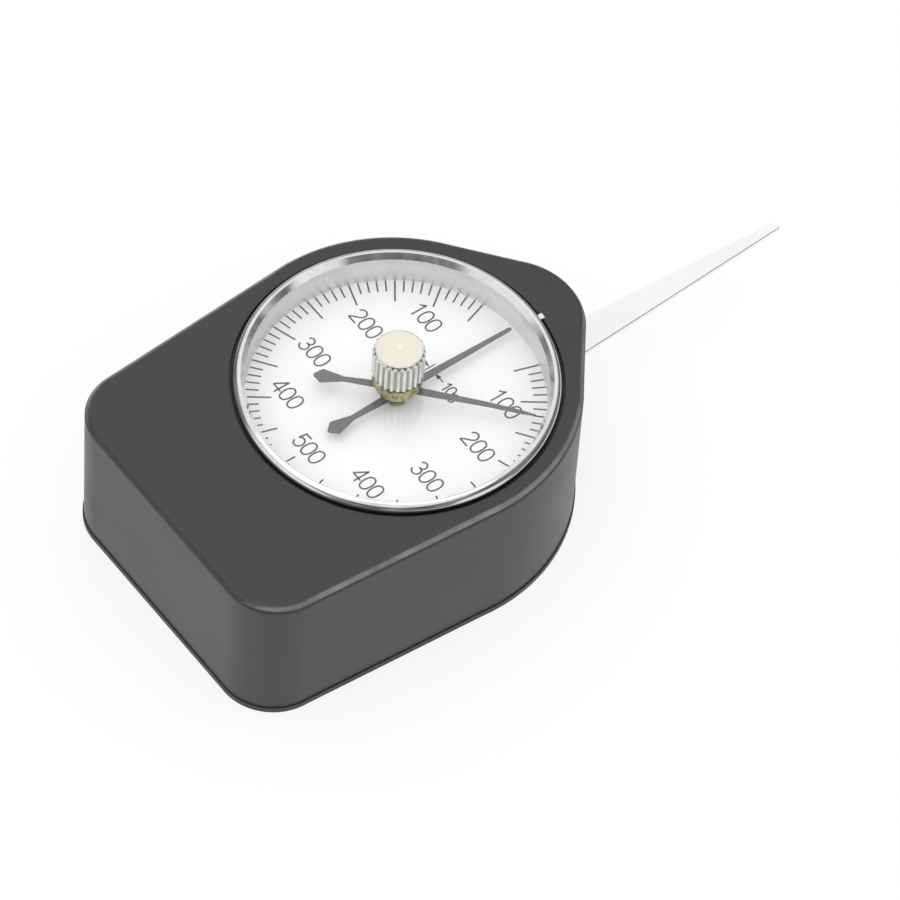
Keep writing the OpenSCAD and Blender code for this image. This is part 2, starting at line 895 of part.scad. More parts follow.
module measuring_hand() {
    color(hand_grey)
        translate([0, 0, hand_z])
            difference() {
                union() {
                    linear_extrude(hand_t)
                        polygon(hand_outline(hand_reach, tip_len, tip_end_w));
                    cylinder(h = hand_t, r = eye_r);
                }
                plate_holes([[0, 0]], arbor_pivot_r + press_gap, 0, hand_t);
            }
}

module drag_hand() {
    color(hand_grey)
        translate([0, 0, drag_z])
            rotate(drag_angle)
                difference() {
                    union() {
                        intersection() {
                            translate([0, 0, -drag_tip_drop - cut])
                                linear_extrude(drag_tip_drop + 2 * cut)
                                    polygon(hand_outline(drag_reach, drag_tip_len, drag_tip_end_w));
                            translate([0, kite_w, 0])
                                rotate([90, 0, 0])
                                    linear_extrude(2 * kite_w)
                                        polygon(drag_profile());
                        }
                        cylinder(h = hand_t, r = eye_r);
                    }
                    plate_holes([[0, 0]], spindle_r + press_gap, 0, hand_t);
                }
}

// Side view of the drag hand: it comes down from its eye to both sides, and more towards its tip
function drag_profile() =
    let (
        tail_fall = drag_bow / (tail_reach - eye_r),
        tip_fall = (drag_tip_drop - drag_bow) / bend_len,
        low = [
            [-tail_reach - cut, -drag_bow - cut * tail_fall],
            [-eye_r, 0],
            [eye_r, 0],
            [bend_reach, -drag_bow],
            [drag_reach + cut, -drag_tip_drop - cut * tip_fall]
        ]
    )
    concat(low, [for (i = [len(low) - 1:-1:0]) low[i] + [0, hand_t]]);

module drag_hub() {
    color(brass)
        translate([0, 0, drag_z - drag_hub_h])
            tube(drag_hub_r, spindle_r + press_gap, drag_hub_h);
}

module drag_spindle() {
    color(steel)
        translate([0, 0, drag_z - drag_hub_h])
            cylinder(h = knob_z + spindle_depth - drag_z + drag_hub_h, r = spindle_r);
}

module friction_washer() {
    color(steel)
        translate([0, 0, collar_top])
            tube(spindle_r + washer_w, spindle_r + seat_gap, washer_t);
}

module reset_knob() {
    knob_r = knob_d / 2;
    color(nickel)
        difference() {
            translate([0, 0, knob_z])
                rotate_extrude()
                    polygon([
                        [0, 0],
                        [knob_r, 0],
                        [knob_r, knob_h - knob_chamfer],
                        [knob_r - knob_chamfer, knob_h],
                        [0, knob_h]
                    ]);
            for (i = [0:flutes - 1])
                rotate(360 * i / flutes)
                    translate([knob_r + flute_offset, 0, knob_z - cut])
                        cylinder(h = knob_h + 2 * cut, r = flute_r);
            translate([0, 0, knob_z - cut])
                cylinder(h = spindle_depth + cut, r = spindle_r + press_gap);
        }
}

case();
bottom_cover();
cover_screws();
bezel_ring();
crystal();
crystal_bush();
spacer_ring();
dial_plate();
upper_plate();
lower_plate();
pillars();
pillar_screws();
movement_screws();
lever_bushes();
arbor_bushes();
spring_stud();
measuring_spring();
hairspring();
hairspring_stud();
stop_pins();
lever_shaft();
lever_hub();
feeler_lever();
lever_screws();
sector_gear();
spring_collet();
pointer_arbor();
pinion();
hairspring_collet();
hand_bush();
measuring_hand();
drag_hand();
drag_hub();
drag_spindle();
friction_washer();
reset_knob();
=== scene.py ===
import json
import math

import bmesh
import bpy
from mathutils import Matrix, Vector


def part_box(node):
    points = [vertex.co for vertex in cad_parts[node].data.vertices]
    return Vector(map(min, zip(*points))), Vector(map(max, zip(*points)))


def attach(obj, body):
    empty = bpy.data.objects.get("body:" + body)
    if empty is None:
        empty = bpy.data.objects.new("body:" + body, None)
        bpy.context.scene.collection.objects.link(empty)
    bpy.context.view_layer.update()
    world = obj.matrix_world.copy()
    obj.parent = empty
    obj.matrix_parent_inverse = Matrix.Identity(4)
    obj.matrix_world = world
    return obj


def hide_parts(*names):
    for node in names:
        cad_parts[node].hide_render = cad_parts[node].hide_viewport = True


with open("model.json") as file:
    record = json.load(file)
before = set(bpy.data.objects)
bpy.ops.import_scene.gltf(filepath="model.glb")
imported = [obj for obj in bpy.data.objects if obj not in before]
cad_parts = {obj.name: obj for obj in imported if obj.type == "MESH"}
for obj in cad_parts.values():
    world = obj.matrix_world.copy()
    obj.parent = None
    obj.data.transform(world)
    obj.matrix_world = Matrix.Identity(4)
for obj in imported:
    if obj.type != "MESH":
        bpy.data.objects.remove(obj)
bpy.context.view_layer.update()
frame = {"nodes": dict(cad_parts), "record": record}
nodes = frame["nodes"]
mm = 0.001
print("frame loaded,", len(nodes), "pieces from the solids")


# camera at the photo's viewing angle
cameraView = {
    "azimuth": -40.39,
    "elevation": 53.11,
    "roll": 4.52,
    "distance": 800 * mm,
    "pixelsPerMm": 8.41,           # at that distance
    "imageSize": 900,
    "originPixel": (390.49, 482.6),  # where the dial axis meets the table
    "sensor": 36.0,
    "clip": (0.05, 20),            # metres
}


def makeCamera(view):
    a, e, r = (math.radians(view[k]) for k in ("azimuth", "elevation", "roll"))
    ahead = Vector((-math.sin(a) * math.cos(e), math.cos(a) * math.cos(e), -math.sin(e)))
    right = Vector((math.cos(a), math.sin(a), 0))
    up = right.cross(ahead)
    camX = right * math.cos(r) + up * math.sin(r)
    camY = up * math.cos(r) - right * math.sin(r)
    half = view["imageSize"] / 2
    shiftX = (view["originPixel"][0] - half) / view["pixelsPerMm"] * mm
    shiftY = (half - view["originPixel"][1]) / view["pixelsPerMm"] * mm
    place = -(camX * shiftX + camY * shiftY + ahead * view["distance"])
    lens = bpy.data.cameras.new("gaugeCamera")
    lens.sensor_width = view["sensor"]
    focalPixels = view["pixelsPerMm"] * view["distance"] / mm
    lens.lens = focalPixels / view["imageSize"] * view["sensor"]
    lens.clip_start, lens.clip_end = view["clip"]
    camera = bpy.data.objects.new("gaugeCamera", lens)
    bpy.context.scene.collection.objects.link(camera)
    axes = Matrix((camX, camY, -ahead)).transposed().to_4x4()
    camera.matrix_world = Matrix.Translation(place) @ axes
    bpy.context.scene.camera = camera


makeCamera(cameraView)
print("camera set")


# node helpers
def addNode(tree, kind, inputs=None, **settings):
    node = tree.nodes.new(kind)
    for key, value in settings.items():
        setattr(node, key, value)
    for key, value in (inputs or {}).items():
        if isinstance(value, bpy.types.NodeSocket):
            tree.links.new(value, node.inputs[key])
        else:
            node.inputs[key].default_value = value
    return node


def calc(tree, operation, a, b=0.0):
    return addNode(tree, "ShaderNodeMath", {0: a, 1: b}, operation=operation).outputs[0]


def times(tree, *values):
    result = values[0]
    for value in values[1:]:
        result = calc(tree, "MULTIPLY", result, value)
    return result


def blend(tree, a, b, share):
    # share is how much of a there is
    return calc(tree, "ADD", times(tree, a, share), times(tree, b, 1 - share))


def spread(tree, value, fromLow, fromHigh, toLow, toHigh, kind="LINEAR"):
    inputs = {"Value": value, "From Min": fromLow, "From Max": fromHigh,
              "To Min": toLow, "To Max": toHigh}
    return addNode(tree, "ShaderNodeMapRange", inputs, interpolation_type=kind).outputs["Result"]


def tones(tree, value, span, look):
    # from the dark to the light tone of a finish, as value runs over span
    node = addNode(tree, "ShaderNodeValToRGB", {"Fac": value})
    for element, place, tone in zip(node.color_ramp.elements, span, ("dark", "light")):
        element.position = place
        element.color = (*look[tone], 1)
    return node.outputs["Color"]


def mixColours(tree, share, a, colour):
    node = addNode(tree, "ShaderNodeMix", data_type="RGBA")
    factor, first, second = (node.inputs[i] for i in (0, 6, 7))   # the sockets for colours
    tree.links.new(share, factor)
    tree.links.new(a, first)
    second.default_value = (*colour, 1)
    return node.outputs[2]


noiseSpan = (0.3, 0.7)             # nearly all values of a noise lie between these
paintSpan = (0.35, 0.65)           # noise from the darkest to the lightest paint
metalSpan = (0.3, 0.62)            # and from tarnished to bright metal
drawnSpan = (0.3, 0.65)            # and along polished steel
cloudShare = 0.55                  # of the clouds in a paint, the rest is its grain
ringShare = 0.5                    # of the rings on turned metal, the rest is smudges
lineShare = 0.6                    # of the lines on polished steel, the rest is smudges


def grain(tree, vector, size, detail=2.0, rough=0.5, stretch=(1, 1, 1)):
    # noise whose blots are about size millimetres wide, drawn out along an axis by stretch
    scale = [1 / (size * mm * s) for s in stretch]
    mapped = addNode(tree, "ShaderNodeMapping", {"Vector": vector, "Scale": scale})
    inputs = {"Vector": mapped.outputs["Vector"], "Scale": 1.0,
              "Detail": detail, "Roughness": rough}
    return addNode(tree, "ShaderNodeTexNoise", inputs).outputs[0]


def turned(tree, vector):
    # radius and height, so that a pattern runs round the dial axis as lathe marks do
    parts = addNode(tree, "ShaderNodeSeparateXYZ", {"Vector": vector})
    x, y, z = (parts.outputs[axis] for axis in "XYZ")
    radius = calc(tree, "SQRT", calc(tree, "ADD", times(tree, x, x), times(tree, y, y)))
    return addNode(tree, "ShaderNodeCombineXYZ", {"X": radius, "Y": z}).outputs["Vector"]


def newFinish(name):
    material = bpy.data.materials.new(name)
    material.use_nodes = True
    tree = material.node_tree
    shader = next(n for n in tree.nodes if n.type == "BSDF_PRINCIPLED")
    vector = addNode(tree, "ShaderNodeTexCoord").outputs["Object"]
    return material, tree, shader, vector


def link(tree, shader, **sockets):
    for name, value in sockets.items():
        tree.links.new(value, shader.inputs[name.replace("_", " ")])


def bumped(tree, shader, height, depth):
    inputs = {"Height": height, "Distance": depth * mm, "Strength": 1.0}
    node = addNode(tree, "ShaderNodeBump", inputs)
    tree.links.new(node.outputs["Normal"], shader.inputs["Normal"])


# plain pale floor under soft light
studio = {
    "skyLevel": 0.97,
    "roomLevel": 0.2,              # what metal mirrors away from the lights
    "lights": [                    # soft lights: direction, half width in degrees, level
        ((0.389, 0.457, 0.8), 37, 0.97),
        ((-0.37, 0.4, 0.84), 25, 0.95),
        ((0.256, -0.957, 0.147), 17, 0.95),
        ((-0.962, 0.267, 0.12), 28, 0.95),
    ],
    "lightFade": (1.3, 0.7),       # a light starts and is full at these shares of its half width
    "streakSize": 0.22,
    "streakDepth": 0.14,
    "streakStretch": (1, 1, 0.3),
    "floorHalf": 3.0,
    "floorDrop": 0.02,             # mm below the resting face
    "floorWhite": 0.9,
    "floorGlow": 0.8,              # share of the white that is there in shadow too
    "floorReach": (0.25, 0.5),     # metal mirrors the white floor up to here, then less of it
    "floorFar": 0.35,
    "keyPlace": (-0.2, -0.05, 1.0),
    "keySize": 1.4,
    "keyPower": 3.3,
}


def makeWorld(look):
    world = bpy.data.worlds.new("studioWorld")
    bpy.context.scene.world = world
    world.use_nodes = True
    tree = world.node_tree
    tree.nodes.clear()
    direction = addNode(tree, "ShaderNodeTexCoord").outputs["Generated"]

    def towards(way):
        inputs = {0: direction, 1: Vector(way).normalized()}
        node = addNode(tree, "ShaderNodeVectorMath", inputs, operation="DOT_PRODUCT")
        return node.outputs["Value"]

    inputs = {"Vector": direction, "Scale": look["streakStretch"]}
    wide = addNode(tree, "ShaderNodeMapping", inputs).outputs["Vector"]
    inputs = {"Vector": wide, "Scale": 1 / look["streakSize"], "Detail": 2.0}
    streak = addNode(tree, "ShaderNodeTexNoise", inputs).outputs[0]
    ripple = spread(tree, streak, *noiseSpan, -look["streakDepth"], look["streakDepth"])
    level = calc(tree, "ADD", ripple, look["roomLevel"])
    for way, halfWidth, light in look["lights"]:
        edge, core = (math.cos(math.radians(halfWidth * k)) for k in look["lightFade"])
        share = spread(tree, towards(way), edge, core, 0.0, 1.0, "SMOOTHSTEP")
        added = times(tree, share, calc(tree, "SUBTRACT", light, level))
        level = calc(tree, "ADD", level, added)
    # only mirror reflections show the dark room, the light itself is even
    mirrored = addNode(tree, "ShaderNodeLightPath").outputs["Is Glossy Ray"]
    dimming = times(tree, calc(tree, "SUBTRACT", look["skyLevel"], level), mirrored)
    inputs = {"Color": calc(tree, "SUBTRACT", look["skyLevel"], dimming), "Strength": 1.0}
    sky = addNode(tree, "ShaderNodeBackground", inputs)
    out = addNode(tree, "ShaderNodeOutputWorld")
    tree.links.new(sky.outputs[0], out.inputs["Surface"])


def makeFloor(look):
    half = look["floorHalf"]
    mesh = bpy.data.meshes.new("floor")
    corners = [(-half, -half, 0), (half, -half, 0), (half, half, 0), (-half, half, 0)]
    mesh.from_pydata(corners, [], [(0, 1, 2, 3)])
    floor = bpy.data.objects.new("floor", mesh)
    floor.location.z = -look["floorDrop"] * mm
    bpy.context.scene.collection.objects.link(floor)
    material = bpy.data.materials.new("floorWhite")
    material.use_nodes = True
    tree = material.node_tree
    tree.nodes.clear()
    white = look["floorWhite"]
    matte = addNode(tree, "ShaderNodeBsdfDiffuse", {"Color": (white, white, white, 1)})
    ray = addNode(tree, "ShaderNodeLightPath").outputs
    place = addNode(tree, "ShaderNodeNewGeometry").outputs["Position"]
    away = addNode(tree, "ShaderNodeVectorMath", {0: place}, operation="LENGTH").outputs["Value"]
    far = spread(tree, away, *look["floorReach"], 0.0, 1 - look["floorFar"])
    lit = calc(tree, "SUBTRACT", 1.0, times(tree, far, ray["Is Glossy Ray"]))
    glow = addNode(tree, "ShaderNodeEmission", {"Color": lit, "Strength": 1.0})
    mirror = calc(tree, "MAXIMUM", ray["Is Glossy Ray"], ray["Is Transmission Ray"])
    share = calc(tree, "MAXIMUM", mirror, times(tree, ray["Is Camera Ray"], look["floorGlow"]))
    mix = addNode(tree, "ShaderNodeMixShader", {0: share, 1: matte.outputs[0], 2: glow.outputs[0]})
    out = addNode(tree, "ShaderNodeOutputMaterial")
    tree.links.new(mix.outputs[0], out.inputs["Surface"])
    mesh.materials.append(material)


def makeKeyLight(look):
    lamp = bpy.data.lights.new("keyLight", "AREA")
    lamp.shape = "DISK"
    lamp.size = look["keySize"]
    lamp.energy = look["keyPower"]
    key = bpy.data.objects.new("keyLight", lamp)
    key.location = look["keyPlace"]
    key.rotation_mode = "QUATERNION"
    key.rotation_quaternion = (-Vector(look["keyPlace"])).to_track_quat("-Z", "Y")
    bpy.context.scene.collection.objects.link(key)


makeWorld(studio)
makeFloor(studio)
makeKeyLight(studio)
print("studio set")


# finishes, with sizes and depths in mm
casePaint = {
    "dark": (0.0245, 0.0245, 0.0255),
    "light": (0.032, 0.032, 0.033),
    "rough": (0.36, 0.46),
    "grainSize": 0.22,
    "grainDepth": 0.004,
    "cloudSize": 9.0,
    "sheenAndWear": (0.25, 0.25, 0.25),    # painted highlight along the rounded top edge of the sides facing ±Y, partly rubbed paint
    "sheenAndWearRough": 0.26,
    "sheenAndWearShare": (0.4, 0.78),      # least and most of it
    "sheenAndWearFrom": (0.55, 0.68),      # upward lean of the surface where the painted highlight starts
    "sheenAndWearTo": (0.92, 0.98),        # and where it ends
    "sheenAndWearSide": (0.15, 0.5),       # sideways lean, so that the painted highlight stays off the back edge
    "sheenAndWearPatch": 5.0,              # size of the patches
}


def edgeSheenAndWear(tree, vector, look):
    # painted highlight with some rubbed paint: most in the middle of a rounded upper edge, 0 on
    # flat tops and walls
    normal = addNode(tree, "ShaderNodeNewGeometry").outputs["Normal"]
    lean = addNode(tree, "ShaderNodeSeparateXYZ", {"Vector": normal})
    above = spread(tree, lean.outputs["Z"], *look["sheenAndWearFrom"], 0.0, 1.0, "SMOOTHSTEP")
    below = spread(tree, lean.outputs["Z"], *look["sheenAndWearTo"], 1.0, 0.0, "SMOOTHSTEP")
    sideways = calc(tree, "ABSOLUTE", lean.outputs["Y"])
    held = spread(tree, sideways, *look["sheenAndWearSide"], 0.0, 1.0, "SMOOTHSTEP")
    noise = grain(tree, vector, look["sheenAndWearPatch"], detail=3.0, rough=0.6)
    patches = spread(tree, noise, *paintSpan, *look["sheenAndWearShare"])
    return times(tree, above, below, held, patches)


def paintFinish(name, look):
    material, tree, shader, vector = newFinish(name)
    cloud = grain(tree, vector, look["cloudSize"], detail=3.0)
    fine = grain(tree, vector, look["grainSize"], detail=3.0, rough=0.6)
    both = blend(tree, cloud, fine, cloudShare)
    colour = tones(tree, both, paintSpan, look)
    rough = spread(tree, both, *noiseSpan, *look["rough"])
    if "sheenAndWear" in look:
        # lighter, glossier paint on the edge: a painted highlight, partly rubbed paint
        edgeSheenMask = edgeSheenAndWear(tree, vector, look)
        colour = mixColours(tree, edgeSheenMask, colour, look["sheenAndWear"])
        rough = spread(tree, edgeSheenMask, 0.0, 1.0, rough, look["sheenAndWearRough"])
    link(tree, shader, Base_Color=colour, Roughness=rough)
    bumped(tree, shader, fine, look["grainDepth"])
    return material


coverPaint = {
    "dark": (0.016, 0.016, 0.017),
    "light": (0.03, 0.03, 0.031),
    "rough": (0.42, 0.55),
    "grainSize": 0.3,
    "grainDepth": 0.006,
    "cloudSize": 7.0,
}

dialEnamel = {
    "dark": (0.945, 0.945, 0.945),
    "light": (0.98, 0.98, 0.98),
    "rough": (0.3, 0.42),
    "grainSize": 0.35,
    "grainDepth": 0.001,
    "cloudSize": 6.0,
}

dialInk = {
    "dark": (0.04, 0.04, 0.04),
    "light": (0.065, 0.065, 0.065),
    "rough": (0.45, 0.6),
    "grainSize": 0.12,
    "grainDepth": 0.001,
    "cloudSize": 2.0,
}

handPaint = {
    "dark": (0.098, 0.098, 0.098),
    "light": (0.135, 0.135, 0.135),
    "rough": (0.4, 0.55),
    "grainSize": 0.15,
    "grainDepth": 0.002,
    "cloudSize": 3.0,
}

bezelChrome = {
    "dark": (0.7, 0.7, 0.71),
    "light": (0.84, 0.84, 0.85),
    "rough": (0.05, 0.13),
    "markSize": 0.05,
    "markDepth": 0.0006,
    "smudgeSize": 4.0,
}


def latheMarks(tree, shader, vector, look):
    # fine rings about the dial axis and soft smudges, returns the colour of the smudged metal
    rings = grain(tree, turned(tree, vector), look["markSize"], rough=0.6)
    smudge = grain(tree, vector, look["smudgeSize"], detail=3.0, rough=0.6)
    both = blend(tree, rings, smudge, ringShare)
    link(tree, shader, Roughness=spread(tree, both, *noiseSpan, *look["rough"]))
    bumped(tree, shader, rings, look["markDepth"])
    return tones(tree, smudge, metalSpan, look)


def turnedMetal(name, look):
    material, tree, shader, vector = newFinish(name)
    shader.inputs["Metallic"].default_value = 1.0
    link(tree, shader, Base_Color=latheMarks(tree, shader, vector, look))
    return material


ringSatin = {
    "dark": (0.73, 0.73, 0.73),
    "light": (0.79, 0.79, 0.79),
    "rough": (0.42, 0.5),
    "markSize": 0.08,
    "markDepth": 0.001,
    "smudgeSize": 3.0,
}

screwSteel = {
    "dark": (0.5, 0.5, 0.51),
    "light": (0.66, 0.66, 0.67),
    "rough": (0.22, 0.36),
    "markSize": 0.06,
    "markDepth": 0.001,
    "smudgeSize": 1.2,
}

shaftSteel = {
    "dark": (0.54, 0.54, 0.55),
    "light": (0.7, 0.7, 0.71),
    "rough": (0.14, 0.24),
    "markSize": 0.04,
    "markDepth": 0.0006,
    "smudgeSize": 1.5,
}

springBlue = {
    "dark": (0.16, 0.19, 0.27),
    "light": (0.3, 0.33, 0.4),
    "rough": (0.2, 0.32),
    "markSize": 0.05,
    "markDepth": 0.0006,
    "smudgeSize": 1.4,
}

agedBrass = {
    "dark": (0.15, 0.14, 0.045),
    "light": (0.58, 0.54, 0.32),
    "rough": (0.22, 0.42),
    "markSize": 0.07,
    "markDepth": 0.001,
    "smudgeSize": 0.7,
}

movementBrass = {
    "dark": (0.5, 0.36, 0.13),
    "light": (0.66, 0.49, 0.2),
    "rough": (0.2, 0.34),
    "markSize": 0.12,
    "markDepth": 0.001,
    "smudgeSize": 4.0,
}

leverSteel = {
    "dark": (0.89, 0.89, 0.895),
    "light": (0.93, 0.93, 0.935),
    "metal": 0.8,                  # a fine satin film over the polish
    "rough": (0.1, 0.2),
    "lineWidth": 0.06,
    "lineStretch": (60, 1, 1),
    "lineDepth": 0.0008,
    "smudgeSize": 9.0,
}


def drawnSteel(name, look):
    # steel polished along its length
    material, tree, shader, vector = newFinish(name)
    shader.inputs["Metallic"].default_value = look["metal"]
    lines = grain(tree, vector, look["lineWidth"], rough=0.6, stretch=look["lineStretch"])
    smudge = grain(tree, vector, look["smudgeSize"], detail=3.0)
    link(tree, shader, Base_Color=tones(tree, smudge, drawnSpan, look))
    both = blend(tree, lines, smudge, lineShare)
    link(tree, shader, Roughness=spread(tree, both, *noiseSpan, *look["rough"]))
    bumped(tree, shader, lines, look["lineDepth"])
    return material


knobNickel = {
    "dark": (0.66, 0.66, 0.65),
    "light": (0.84, 0.84, 0.82),
    "ivory": (0.83, 0.775, 0.65),  # yellowed top
    "ivoryRadius": (2.56, 2.64),   # where the yellowing ends
    "ivoryFrom": 25.8,             # height above which the top is yellowed
    "ivoryMetal": 0.55,            # the yellowed film is less of a mirror
    "tarnishAndShade": (0.38, 0.38, 0.33),  # painted shade down in the flutes, partly tarnish
    "tarnishAndShadeRadius": (2.86, 3.04),
    "tarnishAndShadeHeight": (25.6, 25.2),  # starts and is full at these heights
    "rough": (0.1, 0.2),
    "markSize": 0.06,
    "markDepth": 0.0008,
    "smudgeSize": 1.6,
}


def knobFinish(name, look):
    material, tree, shader, vector = newFinish(name)
    plate = latheMarks(tree, shader, vector, look)
    parts = addNode(tree, "ShaderNodeSeparateXYZ", {"Vector": turned(tree, vector)})
    radius, height = parts.outputs["X"], parts.outputs["Y"]

    def within(reach):
        # 1 up to the first radius, 0 from the second one outwards
        inner, outer = (r * mm for r in look[reach])
        return spread(tree, radius, inner, outer, 1.0, 0.0, "SMOOTHSTEP")

    # darker down in the flutes: painted shade, partly tarnish
    start, full = (z * mm for z in look["tarnishAndShadeHeight"])
    deep = times(tree, within("tarnishAndShadeRadius"), spread(tree, height, start, full, 0.0, 1.0))
    plate = mixColours(tree, deep, plate, look["tarnishAndShade"])
    above = calc(tree, "GREATER_THAN", height, look["ivoryFrom"] * mm)
    top = times(tree, within("ivoryRadius"), above)
    link(tree, shader, Base_Color=mixColours(tree, top, plate, look["ivory"]))
    link(tree, shader, Metallic=spread(tree, top, 0.0, 1.0, 1.0, look["ivoryMetal"]))
    return material


clearCrystal = {
    "tint": (0.985, 0.99, 0.99),
    "ior": 1.49,
    "waveSize": 6.0,
    "waveDepth": 0.0006,
}


def crystalFinish(name, look):
    material, tree, shader, vector = newFinish(name)
    shader.inputs["Base Color"].default_value = (*look["tint"], 1)
    shader.inputs["Transmission Weight"].default_value = 1.0
    shader.inputs["Roughness"].default_value = 0.0
    shader.inputs["IOR"].default_value = look["ior"]
    bumped(tree, shader, grain(tree, vector, look["waveSize"], detail=1.0), look["waveDepth"])
    # light from the lamp and the room reaches the dial straight through
    ray = addNode(tree, "ShaderNodeLightPath").outputs
    through = calc(tree, "MAXIMUM", ray["Is Shadow Ray"], ray["Is Diffuse Ray"])
    bare = addNode(tree, "ShaderNodeBsdfTransparent")
    inputs = {0: through, 1: shader.outputs[0], 2: bare.outputs[0]}
    mix = addNode(tree, "ShaderNodeMixShader", inputs)
    out = next(n for n in tree.nodes if n.type == "OUTPUT_MATERIAL")
    tree.links.new(mix.outputs[0], out.inputs["Surface"])
    return material


finishes = {
    "case_paint": paintFinish("satinBlack", casePaint),
    "cover_paint": paintFinish("matteBlack", coverPaint),
    "dial_white": paintFinish("whiteEnamel", dialEnamel),
    "hand_grey": paintFinish("darkGrey", handPaint),
    "bezel_chrome": turnedMetal("brightChrome", bezelChrome),
    "ring_grey": turnedMetal("satinRing", ringSatin),
    "screw_steel": turnedMetal("turnedSteel", screwSteel),
    "shaft_steel": turnedMetal("groundSteel", shaftSteel),
    "spring_steel": turnedMetal("bluedSpring", springBlue),
    "aged_brass": turnedMetal("agedBrass", agedBrass),
    "movement_brass": turnedMetal("milledBrass", movementBrass),
    "lever_steel": drawnSteel("polishedSteel", leverSteel),
    "knob_nickel": knobFinish("nickelPlate", knobNickel),
    "clear_crystal": crystalFinish("clearCrystal", clearCrystal),
}
ink = paintFinish("dialInk", dialInk)
print("finishes made:", len(finishes))


# solids: finish, smooth shading and broken edges
solidShade = {
    "smoothAngle": 32,             # faces that meet at less run on smoothly, degrees
    "softEdges": {                 # width of the broken edge in mm, and its facets
        "bezel_ring": (0.08, 3),
        "feeler_lever": (0.1, 1),
        "crystal_bush": (0.06, 3),
        "bottom_cover": (0.12, 3),
        "measuring_hand": (0.03, 3),
        "drag_hand": (0.03, 3),
    },
    "plainEdge": (0, 3),           # all the others
    "evenShade": ("case", "bottom_cover"),   # their flat walls run on into round corners
    "evenWeight": 100,
    "weldReach": 0.0005,           # mm
    "flatAngle": 1,                # faces that lean apart by less become one, degrees
}


def makeCreases(look):
    # welded solids lose the corner normals they came with,
    # and get a crease where faces meet at an angle
    group = bpy.data.node_groups.new("creases", "GeometryNodeTree")
    for way in ("INPUT", "OUTPUT"):
        group.interface.new_socket("Geometry", in_out=way, socket_type="NodeSocketGeometry")
    start, end = addNode(group, "NodeGroupInput"), addNode(group, "NodeGroupOutput")
    angle = addNode(group, "GeometryNodeInputMeshEdgeAngle").outputs["Unsigned Angle"]
    crease = calc(group, "GREATER_THAN", angle, math.radians(look["smoothAngle"]))
    inputs = {"Geometry": start.outputs[0], "Name": "custom_normal"}
    bare = addNode(group, "GeometryNodeRemoveAttribute", inputs)
    inputs = {"Geometry": bare.outputs[0], "Selection": crease, "Shade Smooth": False}
    sharp = addNode(group, "GeometryNodeSetShadeSmooth", inputs, domain="EDGE")
    group.links.new(sharp.outputs[0], end.inputs[0])
    return group


def dressSolid(name, slotName, creases, look):
    solid = nodes[name]
    solid.data.materials.clear()
    solid.data.materials.append(finishes[slotName])
    width, facets = look["softEdges"].get(name, look["plainEdge"])
    smoothAngle = math.radians(look["smoothAngle"])
    isEven = name in look["evenShade"]
    solid.data.set_sharp_from_angle(angle=smoothAngle)
    for face in solid.data.polygons:
        face.use_smooth = facets > 1
        face.material_index = 0
    if width or isEven:
        weld = solid.modifiers.new("weld", "WELD")
        weld.merge_threshold = look["weldReach"] * mm
        crease = solid.modifiers.new("creases", "NODES")
        crease.node_group = creases
    if width:
        if facets == 1:            # whole flat faces, so that one plain facet comes out even
            flat = solid.modifiers.new("flat", "DECIMATE")
            flat.decimate_type = "DISSOLVE"
            flat.angle_limit = math.radians(look["flatAngle"])
        edge = solid.modifiers.new("edge", "BEVEL")
        edge.width = width * mm
        edge.segments = facets
        edge.use_clamp_overlap = facets > 1
        edge.limit_method = "ANGLE"
        edge.angle_limit = smoothAngle
        edge.harden_normals = facets > 1
    if isEven:
        even = solid.modifiers.new("even", "WEIGHTED_NORMAL")
        even.keep_sharp = True
        even.weight = look["evenWeight"]


solidCreases = makeCreases(solidShade)
for part in frame["record"]["subparts"]:
    dressSolid(part["node"], part["material_slot"], solidCreases, solidShade)
print("solids dressed")


# pieces that come on top of the solids
def newPiece(name, shape, slotName, body, finish=None):
    mesh = bpy.data.meshes.new(name)
    shape.to_mesh(mesh)
    shape.free()
    piece = bpy.data.objects.new(name, mesh)
    bpy.context.scene.collection.objects.link(piece)
    mesh.materials.append(finish or finishes[slotName])
    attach(piece, body)
    return piece


mitreLimit = 0.4                   # keeps the corner of a sharp bend short


def addStroke(shape, points, width, low, high, closed=False):
    # band of even width along points, from height low to high
    points = [Vector(p) for p in points]
    count = len(points)
    left, right = [], []
    for i, point in enumerate(points):
        before = points[i - 1] if i > 0 or closed else None
        after = points[(i + 1) % count] if i < count - 1 or closed else None
        ways = []
        if before is not None:
            ways.append((point - before).normalized())
        if after is not None:
            ways.append((after - point).normalized())
        way = sum(ways, Vector((0, 0))).normalized()
        side = Vector((-way.y, way.x))
        reach = width / 2 / max(mitreLimit, abs(way.dot(ways[0])))
        left.append(point + side * reach)
        right.append(point - side * reach)
    sides = ((left, high), (right, high), (right, low), (left, low))
    rows = [[shape.verts.new((p.x, p.y, z)) for p in line] for line, z in sides]
    for i in range(count if closed else count - 1):
        j = (i + 1) % count
        for k in range(4):
            m = (k + 1) % 4
            shape.faces.new((rows[k][i], rows[m][i], rows[m][j], rows[k][j]))
    if not closed:
        shape.faces.new([rows[k][0] for k in (3, 2, 1, 0)])
        shape.faces.new([rows[k][-1] for k in range(4)])


def arc(centre, radii, start, end, steps):
    angles = [math.radians(start + (end - start) * i / steps) for i in range(steps + 1)]
    return [(centre[0] + radii[0] * math.cos(a), centre[1] + radii[1] * math.sin(a))
            for a in angles]


def oval(halfWidth, halfHeight, steps, power=2.3):
    ring = []
    for i in range(steps):
        c, s = math.cos(2 * math.pi * i / steps), math.sin(2 * math.pi * i / steps)
        ring.append((halfWidth * math.copysign(abs(c) ** (2 / power), c),
                     halfHeight * math.copysign(abs(s) ** (2 / power), s)))
    return ring


